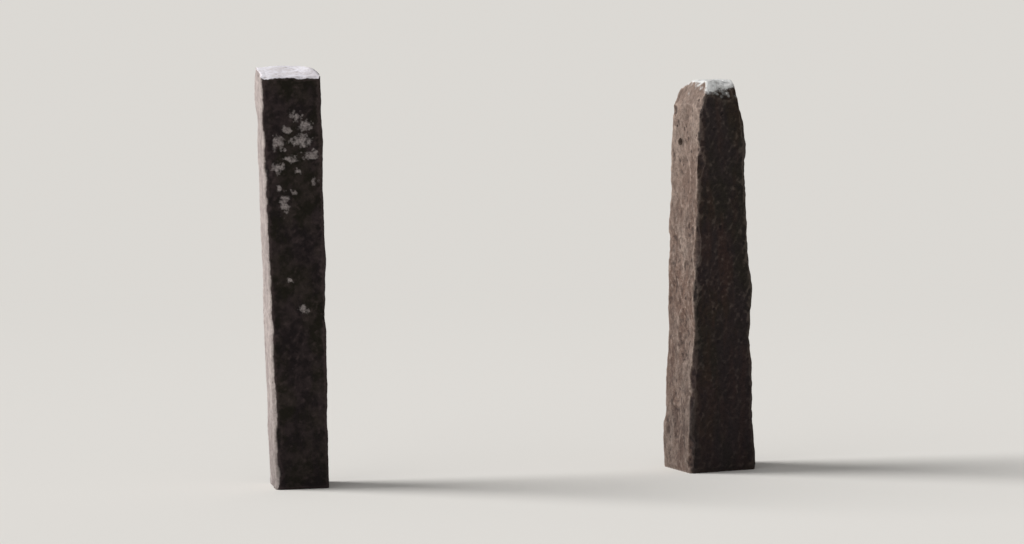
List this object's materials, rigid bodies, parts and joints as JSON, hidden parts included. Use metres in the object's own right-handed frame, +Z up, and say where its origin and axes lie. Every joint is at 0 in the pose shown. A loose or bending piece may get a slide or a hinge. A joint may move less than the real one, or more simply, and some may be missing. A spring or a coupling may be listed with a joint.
{
  "type": "stone gap stile",
  "caption": "Stone gap stile: rough upright stone posts either side of a footpath, which let walkers through the line of a wall; one is drilled for a gate hook.",
  "frame": {"origin": "on the ground, at the middle of the stile's overall length and depth", "axes": "+X along the line of the wall from the left post to the right one, +Y through the gap, +Z up"},
  "size_m": [1.5371, 0.241, 1.29],
  "materials": {
    "dark_flagstone": "split and dressed, weathered, with pale lichen",
    "brown_gritstone": "rough-hewn and weathered"
  },
  "bodies": {
    "root": {"left_post": "dark_flagstone", "right_post": "brown_gritstone"}
  },
  "joints": []
}
